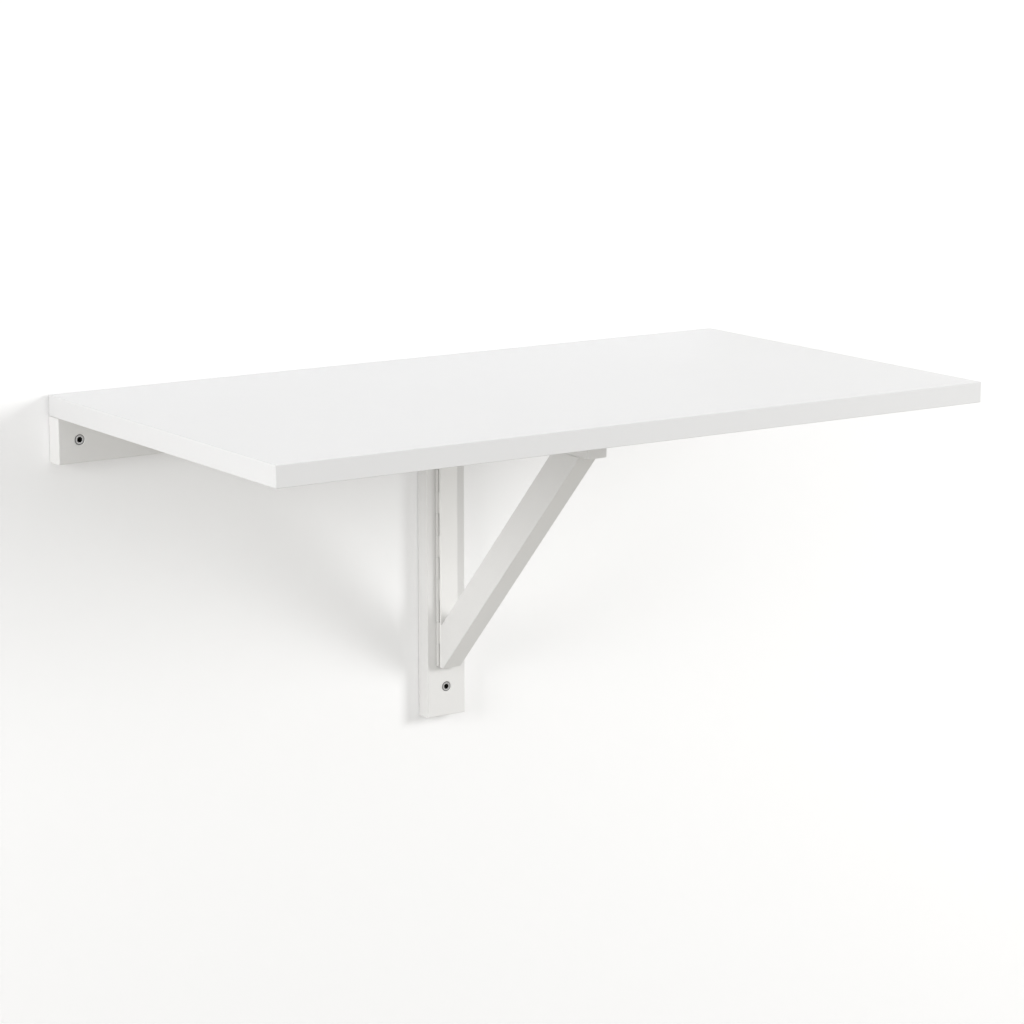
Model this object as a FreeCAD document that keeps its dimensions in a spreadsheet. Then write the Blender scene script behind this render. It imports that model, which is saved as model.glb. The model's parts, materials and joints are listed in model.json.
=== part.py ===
"""Wall mounted drop leaf table with a swinging gate bracket.

Frame: the wall is the plane Y = 0 and the room lies towards -Y, X runs to the right and
Z is up.  The origin is the centre of the wall rail's back face.  All sizes are in mm.

The rail and the post are screwed to the wall.  The leaf rests on the rail and turns on two
angle hinges, whose axis lies in front of the folded bracket, so that the leaf can hang down
in front of it.  The bracket is a brace and an arm on a thin stile, and it swings to the left
on a long hinge whose fixed leaf is screwed to the post.
"""
import FreeCAD
import Part
import math
import os
import Sketcher

SIZES = [
    # alias, value, what it is
    ("leaf_length", 740, "leaf along the wall"),
    ("leaf_depth", 410, "leaf from the wall to its front edge"),
    ("leaf_wall_gap", 1.5, "between the wall and the leaf's rear edge"),
    ("leaf_thickness", 19, "leaf board"),
    ("leaf_gap", 0.5, "between the rail's top and the leaf"),
    ("edge_band", 1.0, "thickness of the edge bands"),
    ("band_ease", 0.6, "rounding of the bands' outer edges"),
    ("rail_inset", 1, "rail's end inside the leaf's end"),
    ("rail_height", 42, "rail, top to bottom"),
    ("rail_thickness", 18, "rail, wall to front"),
    ("lath_ease", 1.0, "rounding of the laths' edges"),
    ("post_offset", 41, "post's centre line, right of the rail's middle"),
    ("post_width", 43, "post across"),
    ("post_length", 292, "post below the rail"),
    ("post_setback", 2.0, "post's face behind the rail's face"),
    ("dowel_diameter", 6, "wooden dowels"),
    ("dowel_length", 30, "wooden dowels"),
    ("post_dowel_spacing", 24, "between the two dowels of the post"),
    ("wall_screw_count", 4, "screws along the rail"),
    ("wall_screw_inset", 21, "outer screws from the rail's ends"),
    ("wall_screw_thread", 5, "wall screw, thread diameter"),
    ("wall_screw_shank", 3.8, "wall screw, plain shank behind the head"),
    ("wall_screw_head", 10, "wall screw, head diameter"),
    ("wall_screw_length", 50, "wall screw, whole length"),
    ("wall_screw_grip", 30, "wall screw, its threaded end"),
    ("wall_screw_sink", 0.4, "head below the wood's face"),
    ("wall_screw_play", 0.5, "clearance hole over the thread"),
    ("post_screw_height", 29, "foot screw above the post's end"),
    ("stile_width", 19, "flat bar across"),
    ("bracket_lath", 21, "arm and brace across"),
    ("stile_thickness", 2.5, "flat bar"),
    ("stile_length", 284, "from the arm's top to the brace's foot"),
    ("arm_gap", 0.5, "between the arm's top and the leaf"),
    ("arm_height", 40, "arm, top to bottom"),
    ("arm_length", 245, "arm in front of the stile"),
    ("brace_width", 31.2, "brace, square to its length"),
    ("brace_angle", 46.7, "brace above the level, in degrees"),
    ("brace_toe", 2.5, "level end of the brace's foot"),
    ("fold_gap", 0.7, "between the rail and the folded bracket"),
    ("bracket_screw_shank", 4, "screws that hold arm and brace to the stile"),
    ("bracket_screw_head", 8, "their head diameter"),
    ("bracket_screw_length", 25, "their whole length"),
    ("bracket_screw_pitch", 12, "between the two brace screws"),
    ("arm_screw_pitch", 22, "between the two arm screws"),
    ("brace_screw_height", 25, "lower brace screw above the foot"),
    ("bracket_dowel_reach", 219, "first brace dowel from the wall"),
    ("bracket_dowel_spacing", 13, "between the two brace dowels"),
    ("long_hinge_sheet", 0.8, "sheet of the bracket's hinge"),
    ("long_hinge_pin", 1.5, "its pin, diameter"),
    ("long_hinge_reach", 19, "its leaves from the axis to their edge"),
    ("long_hinge_length", 237, "its length"),
    ("long_hinge_top", 3, "its upper end below the rail"),
    ("long_hinge_knuckle_count", 11, "its knuckles, both leaves together"),
    ("long_hinge_screw_count", 5, "its screws in the post"),
    ("long_hinge_screw_inset", 18, "first and last screw from its ends"),
    ("long_hinge_screw_shank", 3, "those screws, diameter"),
    ("long_hinge_screw_length", 14, "those screws, length"),
    ("leaf_hinge_clearance", 11, "hinge beside the folded arm's tip"),
    ("leaf_hinge_width", 50, "each leaf hinge along its axis"),
    ("leaf_hinge_sheet", 1.5, "sheet of the leaf hinges"),
    ("leaf_hinge_bend", 0.8, "inner radius of their bend"),
    ("leaf_hinge_pin", 2.4, "their pin, diameter"),
    ("leaf_hinge_knuckle_count", 5, "their knuckles, both leaves together"),
    ("leaf_hinge_drop", 26, "angle on the rail below the leaf"),
    ("leaf_hinge_reach", 34, "plate under the leaf in front of the axis"),
    ("hanging_gap", 3, "between the folded bracket and the hanging leaf"),
    ("leaf_hinge_screw_pitch", 30, "between the two screws of a row"),
    ("leaf_hinge_screw_shank", 3.5, "those screws, diameter"),
    ("rail_hinge_screw_drop", 15, "screws in the rail below the leaf"),
    ("rail_hinge_screw_length", 16, "screws in the rail"),
    ("leaf_hinge_screw_reach", 21, "screws in the leaf in front of the axis"),
    ("leaf_hinge_screw_length", 15, "screws in the leaf"),
    ("pin_play", 0.05, "hinge pin in its knuckles, all round"),
    ("knuckle_play", 0.15, "between neighbouring knuckles"),
    ("notch_play", 0.3, "hinge leaf round the other's knuckles"),
]

# Places that follow from the sizes, as expressions.  Distances from the wall are positive.
POST_FACE = "(sizes.rail_thickness - sizes.post_setback)"
RAIL_BOTTOM = "(-sizes.rail_height / 2)"
RAIL_TOP = "(sizes.rail_height / 2)"
RAIL_END = "(sizes.leaf_length / 2 - sizes.rail_inset)"
RAIL_SCREW = f"({RAIL_END} - sizes.wall_screw_inset)"
POST_FOOT = f"({RAIL_BOTTOM} - sizes.post_length)"
LEAF_UNDERSIDE = f"({RAIL_TOP} + sizes.leaf_gap)"
LONG_KNUCKLE = "(sizes.long_hinge_pin + 2 * (sizes.long_hinge_sheet + sizes.pin_play))"
LEAF_KNUCKLE = "(sizes.leaf_hinge_pin + 2 * (sizes.leaf_hinge_sheet + sizes.pin_play))"
AXIS_OUT = f"({POST_FACE} + {LONG_KNUCKLE} / 2)"
STILE_BACK = f"({POST_FACE} + {LONG_KNUCKLE})"
STILE_FRONT = f"({STILE_BACK} + sizes.stile_thickness)"
BRACKET_LEFT = "(sizes.post_offset - sizes.stile_width / 2)"
AXIS_RIGHT = f"({BRACKET_LEFT} - (sizes.rail_thickness + sizes.fold_gap - {AXIS_OUT}))"
ARM_TOP = f"({LEAF_UNDERSIDE} - sizes.arm_gap)"
ARM_BOTTOM = f"({ARM_TOP} - sizes.arm_height)"
FOOT = f"({ARM_TOP} - sizes.stile_length)"
LONG_HINGE_TOP = f"({RAIL_BOTTOM} - sizes.long_hinge_top)"
LONG_HINGE_END = f"({LONG_HINGE_TOP} - sizes.long_hinge_length)"
FOLDED_FRONT = "(sizes.rail_thickness + sizes.fold_gap + sizes.bracket_lath)"
LEAF_AXIS_OUT = f"({FOLDED_FRONT} + sizes.hanging_gap - {LEAF_KNUCKLE} / 2)"
LEAF_AXIS_UP = f"({LEAF_UNDERSIDE} - {LEAF_KNUCKLE} / 2)"
LEAF_HINGE_OFFSET = (
    f"({STILE_FRONT} - {AXIS_OUT} + sizes.arm_length - {AXIS_RIGHT}"
    " + sizes.leaf_hinge_clearance + sizes.leaf_hinge_width / 2)"
)

X, Y, Z = (FreeCAD.Vector(*unit) for unit in ((1, 0, 0), (0, 1, 0), (0, 0, 1)))
UPRIGHT = FreeCAD.Rotation()
SCREW_UPWARDS = FreeCAD.Rotation(X, Z, -Y, "XYZ")
TO_THE_ROOM = FreeCAD.Rotation(X, -Y, -Z, "XYZ")
ON_THE_RAIL = FreeCAD.Rotation(Y, Z, X, "XYZ")
UNDER_THE_LEAF = FreeCAD.Rotation(-Y, Z, -X, "XYZ")

SAME_PLACE = 1e-6  # points nearer than this are one point
LEAST_CUT = 1e-3  # cubic millimetres that a cut takes away at the least

doc = FreeCAD.newDocument("drop_leaf_table")


def make_sheet():
    """Write the driving sizes into the document's sheet, one row for each."""
    sheet = doc.addObject("Spreadsheet::Sheet", "sizes")
    for row, (alias, size, note) in enumerate(SIZES, start=1):
        sheet.set(f"A{row}", note)
        sheet.set(f"B{row}", str(size))
        sheet.setAlias(f"B{row}", alias)
    doc.recompute()
    return sheet


def value(expression):
    """The present value of an expression in the sheet's sizes."""
    return float(sizes.evalExpression(expression))


def make_body(label, turn=UPRIGHT, right="0", out="0", up="0"):
    """An empty body named after its piece, turned and then moved to its place."""
    body = doc.addObject("PartDesign::Body", label)
    body.Label = label
    body.AllowCompound = True
    body.Placement = FreeCAD.Placement(FreeCAD.Vector(), turn)
    body.setExpression("Placement.Base.x", right)
    body.setExpression("Placement.Base.y", f"-{out}")
    body.setExpression("Placement.Base.z", up)
    return body


def origin_part(body, role):
    """One of the body's own origin planes or axes."""
    return next(part for part in body.Origin.OriginFeatures if part.Role == role)


def make_sketch(body, plane, offset="0"):
    """An empty sketch on an origin plane, moved along the plane's normal."""
    sketch = body.newObject("Sketcher::SketchObject", f"{body.Name}_sketch")
    sketch.AttachmentSupport = [(origin_part(body, f"{plane}_Plane"), "")]
    sketch.MapMode = "FlatFace"
    sketch.setExpression("AttachmentOffset.Base.z", offset)
    return sketch


def bind(sketch, constraint, expression):
    """Add a constraint and tie its size to the sheet."""
    index = sketch.addConstraint(constraint)
    sketch.renameConstraint(index, f"size{index}")
    sketch.setExpression(f"Constraints.size{index}", expression)


def fix_point(sketch, element, end, across, along):
    """Hold one point of a sketch at a place given by two expressions."""
    for kind, expression in (("DistanceX", across), ("DistanceY", along)):
        bind(sketch, Sketcher.Constraint(kind, -1, 1, element, end, value(expression)), expression)


def draw_polygon(sketch, corners):
    """A closed outline of straight lines through corners given as pairs of expressions."""
    points = [FreeCAD.Vector(value(across), value(along), 0) for across, along in corners]
    first = sketch.GeometryCount
    for start, end in zip(points, points[1:] + points[:1]):
        sketch.addGeometry(Part.LineSegment(start, end))
    for index, (across, along) in enumerate(corners):
        line = first + index
        following = first + (index + 1) % len(corners)
        sketch.addConstraint(Sketcher.Constraint("Coincident", line, 2, following, 1))
        fix_point(sketch, line, 1, across, along)


def draw_rectangle(sketch, left, right, bottom, top):
    """A rectangle between four places."""
    draw_polygon(sketch, [(left, bottom), (right, bottom), (right, top), (left, top)])


def draw_circle(sketch, across, along, diameter):
    """A circle of a given diameter about a point."""
    centre = FreeCAD.Vector(value(across), value(along), 0)
    radius = f"({diameter}) / 2"
    circle = sketch.addGeometry(Part.Circle(centre, FreeCAD.Vector(0, 0, 1), value(radius)))
    fix_point(sketch, circle, 3, across, along)
    bind(sketch, Sketcher.Constraint("Radius", circle, value(radius)), radius)


def make_pad(body, sketch, length):
    """Extrude a sketch along its plane's normal."""
    pad = body.newObject("PartDesign::Pad", f"{body.Name}_pad")
    pad.Profile = sketch
    pad.setExpression("Length", length)
    doc.recompute()
    return pad


def check_cut(body, before):
    """A cut has to take something away, or it points out of the wood."""
    doc.recompute()
    if body.Shape.Volume > before - LEAST_CUT:
        raise RuntimeError(f"a cut in {body.Label} removes nothing")


def make_pocket(body, sketch, depth=None, towards_normal=False):
    """Cut a sketch into the body, against its plane's normal unless told otherwise."""
    before = body.Shape.Volume
    pocket = body.newObject("PartDesign::Pocket", f"{body.Name}_pocket")
    pocket.Profile = sketch
    pocket.Reversed = towards_normal
    if depth is None:
        pocket.Type = "ThroughAll"
    else:
        pocket.setExpression("Length", depth)
    check_cut(body, before)


def make_screw_holes(body, sketch, shank, head, towards_normal=False):
    """Through holes with a right-angled countersink, one for each circle of the sketch."""
    before = body.Shape.Volume
    hole = body.newObject("PartDesign::Hole", f"{body.Name}_hole")
    hole.Profile = sketch
    doc.recompute()
    hole.ThreadType = "None"
    hole.DepthType = "ThroughAll"
    hole.HoleCutType = "Countersink"
    hole.HoleCutCountersinkAngle = 90
    hole.Reversed = towards_normal
    hole.Diameter = value(shank)
    hole.HoleCutDiameter = value(head)
    hole.setExpression("Diameter", shank)
    hole.setExpression("HoleCutDiameter", head)
    check_cut(body, before)


def ease_edges(body, radius, faces=(), along=None):
    """Round the edges of the faces that look in the given directions, and those along a line."""
    shape = body.Tip.Shape
    names = []
    for index, edge in enumerate(shape.Edges, start=1):
        run = edge.tangentAt(edge.FirstParameter)
        if along is not None and run.cross(along).Length < SAME_PLACE:
            names.append(f"Edge{index}")
        elif any(on_face(shape, edge.CenterOfMass, direction) for direction in faces):
            names.append(f"Edge{index}")
    round_edges(body, names, radius)


def round_edges(body, names, radius):
    """Fillet edges of the body's last feature."""
    feature = body.Tip
    fillet = body.newObject("PartDesign::Fillet", f"{body.Name}_round")
    fillet.Base = (feature, names)
    fillet.setExpression("Radius", radius)
    doc.recompute()


def on_face(shape, point, direction):
    """Whether a point lies at the very end of a shape in a direction."""
    reach = max(vertex.Point.dot(direction) for vertex in shape.Vertexes)
    return abs(point.dot(direction) - reach) < SAME_PLACE


def plain_screw(head, shank, length):
    """Half the outline of a short countersunk screw, with the head's top at the origin."""
    return [
        ("0", "0"),
        (f"{head} / 2", "0"),
        (f"{shank} / 2", f"({head} - {shank}) / 2"),
        (f"{shank} / 2", length),
        ("0", length),
    ]


def wall_screw():
    """Half the outline of a wall screw: countersunk head, plain shank, wider thread, point."""
    head, length = "sizes.wall_screw_head", "sizes.wall_screw_length"
    shank, thread = "sizes.wall_screw_shank / 2", "sizes.wall_screw_thread / 2"
    return [
        ("0", "0"),
        (f"{head} / 2", "0"),
        (shank, f"{head} / 2 - {shank}"),
        (shank, f"{length} - sizes.wall_screw_grip"),
        (thread, f"{length} - sizes.wall_screw_grip"),
        (thread, f"{length} - sizes.wall_screw_thread"),
        ("0", length),
    ]


def screw_row(label, outline, count, pitch, along, **place):
    """Equal screws in a row, as separate solids turned from half an outline.

    The first screw's axis is the local Y axis, with the head's top at the origin, and the
    row runs along the local axis named by along.
    """
    body = make_body(label, **place)
    sketch = make_sketch(body, "XY")
    draw_polygon(sketch, outline)
    screw = body.newObject("PartDesign::Revolution", f"{label}_turned")
    screw.Profile = sketch
    screw.ReferenceAxis = (sketch, ["V_Axis"])
    screw.Angle = 360
    doc.recompute()
    if value(count) > 1:
        repeat_along(body, screw, along, f"({count} - 1) * {pitch}", count)
    return body


def repeat_along(body, feature, along, length, count):
    """Repeat a feature in a straight row."""
    row = body.newObject("PartDesign::LinearPattern", f"{body.Name}_row")
    row.Originals = [feature]
    row.Direction = (origin_part(body, f"{along}_Axis"), [""])
    row.setExpression("Length", length)
    row.setExpression("Occurrences", count)
    body.Tip = row
    doc.recompute()


def places_in_row(first, pitch, count):
    """Expressions for equally spaced places."""
    return [f"({first} + {index} * {pitch})" for index in range(round(value(count)))]


def make_rail():
    """The rail: a lath with countersunk holes for the wall screws and pilots for the hinges."""
    rail = make_body("wall_rail")
    outline = make_sketch(rail, "XZ")
    draw_rectangle(outline, f"-{RAIL_END}", RAIL_END, RAIL_BOTTOM, RAIL_TOP)
    make_pad(rail, outline, "sizes.rail_thickness")
    ease_edges(rail, "sizes.lath_ease", [-Y])
    holes = make_sketch(rail, "XZ", "sizes.rail_thickness")
    for across in places_in_row(f"-{RAIL_SCREW}", RAIL_SCREW_PITCH, "sizes.wall_screw_count"):
        draw_circle(holes, across, "0", "sizes.wall_screw_thread")
    make_wall_screw_holes(rail, holes)
    pilots = make_sketch(rail, "XZ", "sizes.rail_thickness")
    for side in (-1, 1):
        for end in (-1, 1):
            across = f"{side} * {LEAF_HINGE_OFFSET} + {end} * sizes.leaf_hinge_screw_pitch / 2"
            draw_circle(pilots, across, RAIL_HINGE_SCREW_UP, "sizes.leaf_hinge_screw_shank")
    make_pocket(rail, pilots, "sizes.rail_hinge_screw_length - sizes.leaf_hinge_sheet")
    drill_post_dowels(rail, towards_normal=True)


def make_wall_screw_holes(body, sketch):
    """Holes in which a wall screw's head sits a little below the face."""
    make_screw_holes(body, sketch, "sizes.wall_screw_thread + sizes.wall_screw_play",
                     "sizes.wall_screw_head + 2 * sizes.wall_screw_sink")


def drill_post_dowels(body, towards_normal):
    """Blind holes for the dowels between post and rail, from their common face."""
    holes = make_sketch(body, "XY", RAIL_BOTTOM)
    draw_post_dowels(holes)
    make_pocket(body, holes, "sizes.dowel_length / 2", towards_normal)


def draw_post_dowels(sketch):
    """The post's two dowels, side by side in the middle of its thickness."""
    for end in (-1, 1):
        draw_circle(sketch, f"sizes.post_offset + {end} * sizes.post_dowel_spacing / 2",
                    f"-{POST_FACE} / 2", "sizes.dowel_diameter")


def make_post():
    """The post: a lath below the rail, with a hole for its foot screw."""
    post = make_body("wall_post")
    outline = make_sketch(post, "XZ")
    draw_rectangle(outline, "sizes.post_offset - sizes.post_width / 2",
                   "sizes.post_offset + sizes.post_width / 2", POST_FOOT, RAIL_BOTTOM)
    make_pad(post, outline, POST_FACE)
    ease_edges(post, "sizes.lath_ease", [-Y])
    hole = make_sketch(post, "XZ", POST_FACE)
    draw_circle(hole, "sizes.post_offset", f"{POST_FOOT} + sizes.post_screw_height",
                "sizes.wall_screw_thread")
    make_wall_screw_holes(post, hole)
    pilots = make_sketch(post, "XZ", POST_FACE)
    for up in LONG_HINGE_SCREWS:
        draw_circle(pilots, f"{AXIS_RIGHT} + {LONG_HINGE_SCREW_REACH}", up,
                    "sizes.long_hinge_screw_shank")
    make_pocket(post, pilots, "sizes.long_hinge_screw_length - sizes.long_hinge_sheet")
    drill_post_dowels(post, towards_normal=False)


def make_post_dowels():
    """The dowels between post and rail."""
    dowels = make_body("rail_post_dowels")
    outline = make_sketch(dowels, "XY", f"{RAIL_BOTTOM} - sizes.dowel_length / 2")
    draw_post_dowels(outline)
    make_pad(dowels, outline, "sizes.dowel_length")


def make_wall_screws():
    """The screws that hold rail and post to the wall; their ends stand out behind."""
    screw_row("rail_wall_screws", wall_screw(), "sizes.wall_screw_count", RAIL_SCREW_PITCH, "X",
              right=f"-{RAIL_SCREW}", out="(sizes.rail_thickness - sizes.wall_screw_sink)")
    screw_row("post_wall_screw", wall_screw(), "1", "0", "X", right="sizes.post_offset",
              out=f"({POST_FACE} - sizes.wall_screw_sink)",
              up=f"{POST_FOOT} + sizes.post_screw_height")


def make_leaf_panel():
    """The leaf's board inside its edge bands, with pilot holes for the hinge screws."""
    panel = make_body("leaf_panel")
    outline = make_sketch(panel, "XY", LEAF_UNDERSIDE)
    draw_rectangle(outline, f"-{PANEL_END}", PANEL_END, "-sizes.leaf_depth + sizes.edge_band",
                   PANEL_REAR)
    make_pad(panel, outline, "sizes.leaf_thickness")
    pilots = make_sketch(panel, "XY", LEAF_UNDERSIDE)
    for side in (-1, 1):
        for end in (-1, 1):
            across = f"{side} * {LEAF_HINGE_OFFSET} + {end} * sizes.leaf_hinge_screw_pitch / 2"
            draw_circle(pilots, across, f"-{LEAF_HINGE_SCREW_OUT}", "sizes.leaf_hinge_screw_shank")
    make_pocket(panel, pilots, "sizes.leaf_hinge_screw_length - sizes.leaf_hinge_sheet",
                towards_normal=True)


def make_edge_bands():
    """Four bands; front and rear run the whole length, the side bands lie between them."""
    end = "sizes.leaf_length / 2"
    front = "-sizes.leaf_depth"
    inner_front = "-sizes.leaf_depth + sizes.edge_band"
    bands = {
        "leaf_edge_front": ((f"-{end}", end, front, inner_front), [-Y]),
        "leaf_edge_left": ((f"-{end}", f"-{PANEL_END}", inner_front, PANEL_REAR), [-X]),
        "leaf_edge_right": ((PANEL_END, end, inner_front, PANEL_REAR), [X]),
        "leaf_edge_rear": ((f"-{end}", end, PANEL_REAR, "-sizes.leaf_wall_gap"), [Y]),
    }
    for label, (sides, outer) in bands.items():
        band = make_body(label)
        outline = make_sketch(band, "XY", LEAF_UNDERSIDE)
        draw_rectangle(outline, *sides)
        make_pad(band, outline, "sizes.leaf_thickness")
        ease_edges(band, "sizes.band_ease", outer)


def hinge_leaf(label, corners, kind, parity, **place):
    """One leaf of a hinge, bent from sheet and curled into knuckles round its axis.

    The hinge's axis is the local Z axis and its middle the origin.  The sheet leaves the
    knuckle along local X, its outer face tangent to the knuckle, through the given corners.
    The knuckles whose number has the given parity stay; the sheet is notched at the others.
    """
    knuckle, sheet = KNUCKLE[kind], f"sizes.{kind}_sheet"
    length, knuckles = f"sizes.{kind}_{HINGE_LENGTH[kind]}", f"sizes.{kind}_knuckle_count"
    body = make_body(label, **place)
    outline = make_sketch(body, "XY", f"-{length} / 2")
    draw_hinge_outline(outline, corners, f"{knuckle} / 2", sheet)
    draw_circle(outline, "0", "0", f"sizes.{kind}_pin + 2 * sizes.pin_play")
    make_pad(body, outline, length)
    notches = make_sketch(body, "XZ", knuckle)
    edge = f"{knuckle} / 2 + sizes.notch_play"
    for index in range(round(value(knuckles))):
        if index % 2 != parity:
            low, high = knuckle_ends(index, length, knuckles)
            draw_rectangle(notches, f"-{knuckle}", edge, low, high)
    make_pocket(body, notches)
    return body


def knuckle_ends(index, length, knuckles):
    """The ends of a notch for one knuckle of the other leaf; outer notches run off the end."""
    count = round(value(knuckles))
    low = f"{length} * ({index} / {knuckles} - 0.5) - sizes.knuckle_play"
    high = f"{length} * ({index + 1} / {knuckles} - 0.5) + sizes.knuckle_play"
    if index == 0:
        low = f"-{length}"
    if index == count - 1:
        high = length
    return low, high


def draw_hinge_outline(sketch, corners, radius, sheet):
    """Cross-section of a hinge leaf: lines through the corners, closed by the knuckle's arc."""
    inner = f"{radius} - {sheet}"
    neck = f"sqrt(({radius})^2 - ({inner})^2)"
    path = [("0", radius), *corners, (neck, inner)]
    points = [FreeCAD.Vector(value(across), value(along), 0) for across, along in path]
    for start, end in zip(points, points[1:]):
        sketch.addGeometry(Part.LineSegment(start, end))
    far_side = FreeCAD.Vector(-value(radius), 0, 0)
    arc = sketch.addGeometry(Part.Arc(points[0], far_side, points[-1]))
    last_line = arc - 1
    for line in range(last_line):
        sketch.addConstraint(Sketcher.Constraint("Coincident", line, 2, line + 1, 1))
    for line, (across, along) in enumerate(path[:-1]):
        fix_point(sketch, line, 1, across, along)
    bind(sketch, Sketcher.Constraint("DistanceY", -1, 1, last_line, 2, value(inner)), inner)
    fix_point(sketch, arc, 3, "0", "0")
    starts_first = sketch.getPoint(arc, 1).isEqual(points[0], SAME_PLACE)
    begin, finish = (1, 2) if starts_first else (2, 1)
    sketch.addConstraint(Sketcher.Constraint("Coincident", 0, 1, arc, begin))
    sketch.addConstraint(Sketcher.Constraint("Coincident", last_line, 2, arc, finish))


def hinge_pin(label, kind, **place):
    """A hinge's pin, as long as the hinge."""
    body = make_body(label, **place)
    length = f"sizes.{kind}_{HINGE_LENGTH[kind]}"
    outline = make_sketch(body, "XY", f"-{length} / 2")
    draw_circle(outline, "0", "0", f"sizes.{kind}_pin")
    make_pad(body, outline, length)


def make_leaf_hinge(side, sign):
    """One angle hinge: an angle on the rail, a plate under the leaf, pin and screws."""
    across = f"{sign} * {LEAF_HINGE_OFFSET}"
    axis = {"right": across, "out": LEAF_AXIS_OUT, "up": LEAF_AXIS_UP}
    radius, sheet = f"{LEAF_KNUCKLE} / 2", "sizes.leaf_hinge_sheet"
    name = f"leaf_hinge_{side}"
    make_rail_angle(f"{name}_rail_angle", radius, sheet, axis)
    plate = hinge_leaf(f"{name}_leaf_plate", [
        ("sizes.leaf_hinge_reach", radius),
        ("sizes.leaf_hinge_reach", f"{radius} - {sheet}"),
    ], "leaf_hinge", 1, turn=UNDER_THE_LEAF, **axis)
    holes = make_sketch(plate, "XZ", f"{sheet} - {radius}")
    for end in (-1, 1):
        draw_circle(holes, "sizes.leaf_hinge_screw_reach",
                    f"{end} * sizes.leaf_hinge_screw_pitch / 2", "sizes.leaf_hinge_screw_shank")
    make_screw_holes(plate, holes, "sizes.leaf_hinge_screw_shank", LEAF_HINGE_SCREW_HEAD)
    hinge_pin(f"{name}_pin", "leaf_hinge", turn=ON_THE_RAIL, **axis)
    first = f"{across} - sizes.leaf_hinge_screw_pitch / 2"
    kind = (LEAF_HINGE_SCREW_HEAD, "sizes.leaf_hinge_screw_shank")
    screw_row(f"{name}_rail_screws", plain_screw(*kind, "sizes.rail_hinge_screw_length"), "2",
              "sizes.leaf_hinge_screw_pitch", "X", right=first,
              out=f"(sizes.rail_thickness + {sheet})", up=RAIL_HINGE_SCREW_UP)
    screw_row(f"{name}_leaf_screws", plain_screw(*kind, "sizes.leaf_hinge_screw_length"), "2",
              "sizes.leaf_hinge_screw_pitch", "X", turn=SCREW_UPWARDS, right=first,
              out=LEAF_HINGE_SCREW_OUT, up=f"{LEAF_UNDERSIDE} - {sheet}")


def make_rail_angle(label, radius, sheet, axis):
    """The hinge leaf that runs back from the axis to the rail and is bent down on its face."""
    reach, drop = f"({LEAF_AXIS_OUT} - sizes.rail_thickness)", "sizes.leaf_hinge_drop"
    angle = hinge_leaf(label, [
        (reach, radius),
        (reach, f"{radius} - {drop}"),
        (f"{reach} - {sheet}", f"{radius} - {drop}"),
        (f"{reach} - {sheet}", f"{radius} - {sheet}"),
    ], "leaf_hinge", 0, turn=ON_THE_RAIL, **axis)
    round_corner(angle, reach, radius, f"sizes.leaf_hinge_bend + {sheet}")
    round_corner(angle, f"{reach} - {sheet}", f"{radius} - {sheet}", "sizes.leaf_hinge_bend")
    holes = make_sketch(angle, "YZ", f"{reach} - {sheet}")
    for end in (-1, 1):
        draw_circle(holes, f"{radius} - sizes.rail_hinge_screw_drop",
                    f"{end} * sizes.leaf_hinge_screw_pitch / 2", "sizes.leaf_hinge_screw_shank")
    make_screw_holes(angle, holes, "sizes.leaf_hinge_screw_shank", LEAF_HINGE_SCREW_HEAD,
                     towards_normal=True)


def round_corner(body, across, along, radius):
    """Round the edge parallel to the hinge's axis that runs through one corner."""
    corner = FreeCAD.Vector(value(across), value(along), 0)
    names = []
    for index, edge in enumerate(body.Tip.Shape.Edges, start=1):
        middle = FreeCAD.Vector(edge.CenterOfMass.x, edge.CenterOfMass.y, 0)
        if middle.isEqual(corner, SAME_PLACE):
            names.append(f"Edge{index}")
    round_edges(body, names, radius)


def make_long_hinge():
    """The bracket's hinge: a leaf on the post, a leaf on the stile, pin and post screws."""
    radius, sheet = f"{LONG_KNUCKLE} / 2", "sizes.long_hinge_sheet"
    edge = "sizes.long_hinge_reach"
    corners = [(edge, radius), (edge, f"{radius} - {sheet}")]
    axis = {"right": AXIS_RIGHT, "out": AXIS_OUT, "up": LONG_HINGE_MIDDLE}
    post_leaf = hinge_leaf("bracket_hinge_post_leaf", corners, "long_hinge", 0, **axis)
    holes = make_sketch(post_leaf, "XZ", f"{sheet} - {radius}")
    for up in LONG_HINGE_SCREWS:
        draw_circle(holes, LONG_HINGE_SCREW_REACH, f"{up} - {LONG_HINGE_MIDDLE}",
                    "sizes.long_hinge_screw_shank")
    make_screw_holes(post_leaf, holes, "sizes.long_hinge_screw_shank", LONG_HINGE_SCREW_HEAD)
    stile_leaf = hinge_leaf("bracket_hinge_stile_leaf", corners, "long_hinge", 1,
                            turn=TO_THE_ROOM, **axis)
    holes = make_sketch(stile_leaf, "XZ", f"{sheet} - {radius}")
    for up in BRACE_SCREWS:
        draw_circle(holes, f"sizes.post_offset - {AXIS_RIGHT}", f"{LONG_HINGE_MIDDLE} - {up}",
                    "sizes.bracket_screw_shank")
    make_screw_holes(stile_leaf, holes, "sizes.bracket_screw_shank", "sizes.bracket_screw_head")
    hinge_pin("bracket_hinge_pin", "long_hinge", **axis)
    screw = plain_screw(LONG_HINGE_SCREW_HEAD, "sizes.long_hinge_screw_shank",
                        "sizes.long_hinge_screw_length")
    screw_row("bracket_hinge_post_screws", screw, "sizes.long_hinge_screw_count",
              LONG_HINGE_SCREW_PITCH, "Z", right=f"{AXIS_RIGHT} + {LONG_HINGE_SCREW_REACH}",
              out=f"({POST_FACE} + {sheet})", up=LONG_HINGE_SCREWS[0])


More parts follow.
